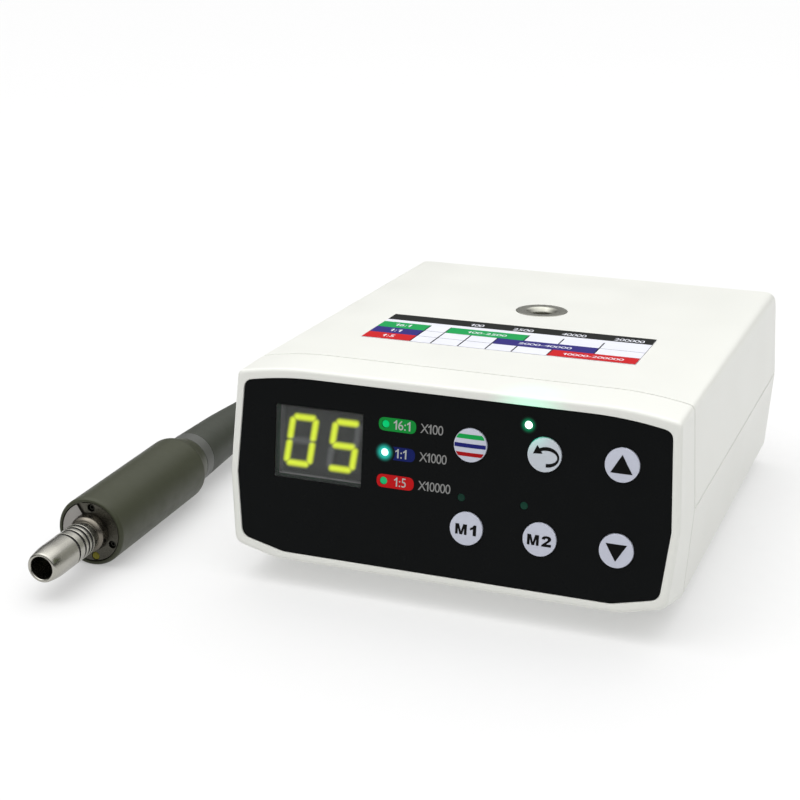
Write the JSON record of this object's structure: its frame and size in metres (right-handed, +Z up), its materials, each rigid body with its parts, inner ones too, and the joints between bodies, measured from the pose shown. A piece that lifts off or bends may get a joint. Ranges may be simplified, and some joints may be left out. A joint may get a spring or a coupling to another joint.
{
  "type": "dental electric micromotor",
  "caption": "Table-top control unit of a dental electric motor, with a keypad, a display and a metal top socket, and its motor handpiece lying beside it on a coiled hose.",
  "frame": {"origin": "on the table, under the middle of the footprint of the control unit and the handpiece", "axes": "+Z up, -Y is the front with the keypad and display, +X to the right seen from the front"},
  "size_m": [0.2, 0.3462, 0.0692],
  "materials": {
    "white_plastic": "moulded ABS, satin gloss",
    "black_panel": "back-printed polycarbonate, glossy",
    "smoked_window": "smoked clear acrylic",
    "black_plastic": "moulded, matt",
    "green_board": "glass-fibre board with solder mask",
    "brass": "turned",
    "printed_label": "printed film",
    "brushed_steel": "turned and brushed",
    "polished_steel": "polished",
    "steel_fastener": "zinc plated",
    "grey_rubber": "moulded silicone, satin",
    "hose_jacket": "smooth silicone hose",
    "olive_satin_metal": "hard anodised, satin",
    "grey_ring": "anodised, satin",
    "yellow_lens": "phosphor coated light window",
    "copper_winding": "enamelled copper winding",
    "magnet": "nickel plated magnet",
    "key_cap": "moulded, printed, satin",
    "light_pipe": "clear green light pipe",
    "rubber_foot": "moulded, matt",
    "black_rubber": "nitrile ring"
  },
  "bodies": {
    "control_set": {"air_inlet": "brass", "air_valve": "brass", "case_screw_1": "steel_fastener", "case_screw_2": "steel_fastener", "case_screw_3": "steel_fastener", "case_screw_4": "steel_fastener", "collar_ring": "grey_ring", "coupling_nose": "polished_steel", "display_module": "black_plastic", "display_window": "smoked_window", "face_plate": "brushed_steel", "face_screw_1": "steel_fastener", "face_screw_2": "steel_fastener", "foot_1": "rubber_foot", "foot_2": "rubber_foot", "foot_3": "rubber_foot", "foot_4": "rubber_foot", "front_bearing": "polished_steel", "front_bezel": "white_plastic", "front_overlay": "black_panel", "hose_boot": "grey_rubber", "hose_coil": "hose_jacket", "hose_lead": "hose_jacket", "hose_nut": "brushed_steel", "hose_port": "brushed_steel", "hose_run": "hose_jacket", "hose_sleeve": "grey_rubber", "key_board": "green_board", "led_memory_1": "light_pipe", "led_memory_2": "light_pipe", "led_ratio_16_1": "light_pipe", "led_ratio_1_1": "light_pipe", "led_ratio_1_5": "light_pipe", "led_reverse": "light_pipe", "light_window": "yellow_lens", "lower_cover": "white_plastic", "main_board": "green_board", "motor_housing": "olive_satin_metal", "o_ring_1": "black_rubber", "o_ring_2": "black_rubber", "o_ring_3": "black_rubber", "o_ring_4": "black_rubber", "power_inlet": "black_plastic", "pressure_sensor": "black_plastic", "rear_bearing": "polished_steel", "rear_bearing_holder": "brushed_steel", "rear_panel": "white_plastic", "socket_nut": "steel_fastener", "speed_chart_label": "printed_label", "stator": "copper_winding", "top_socket": "brushed_steel", "upper_cover": "white_plastic"},
    "ratio_key": {"ratio_button": "key_cap"},
    "reverse_key": {"reverse_button": "key_cap"},
    "up_key": {"up_button": "key_cap"},
    "memory_1_key": {"memory_1_button": "key_cap"},
    "memory_2_key": {"memory_2_button": "key_cap"},
    "down_key": {"down_button": "key_cap"},
    "rotor": {"rotor_shaft": "polished_steel", "rotor_magnet": "magnet"}
  },
  "joints": [
    {"name": "ratio_key_press", "type": "slide", "parent": "control_set", "child": "ratio_key", "axis": [0, 0.9936, -0.1133], "range_m": [0, 0.0005], "stiffness_N_per_m": 1500},
    {"name": "reverse_key_press", "type": "slide", "parent": "control_set", "child": "reverse_key", "axis": [0, 0.9936, -0.1133], "range_m": [0, 0.0005], "stiffness_N_per_m": 1500},
    {"name": "up_key_press", "type": "slide", "parent": "control_set", "child": "up_key", "axis": [0, 0.9936, -0.1133], "range_m": [0, 0.0005], "stiffness_N_per_m": 1500},
    {"name": "memory_1_key_press", "type": "slide", "parent": "control_set", "child": "memory_1_key", "axis": [0, 0.9936, -0.1133], "range_m": [0, 0.0005], "stiffness_N_per_m": 1500},
    {"name": "memory_2_key_press", "type": "slide", "parent": "control_set", "child": "memory_2_key", "axis": [0, 0.9936, -0.1133], "range_m": [0, 0.0005], "stiffness_N_per_m": 1500},
    {"name": "down_key_press", "type": "slide", "parent": "control_set", "child": "down_key", "axis": [0, 0.9936, -0.1133], "range_m": [0, 0.0005], "stiffness_N_per_m": 1500},
    {"name": "rotor_spin", "type": "hinge", "parent": "control_set", "child": "rotor", "pos_m": [-0.08758, -0.05803, 0.0115], "axis": [-0.0332, 0.9995, 0], "continuous": true}
  ]
}
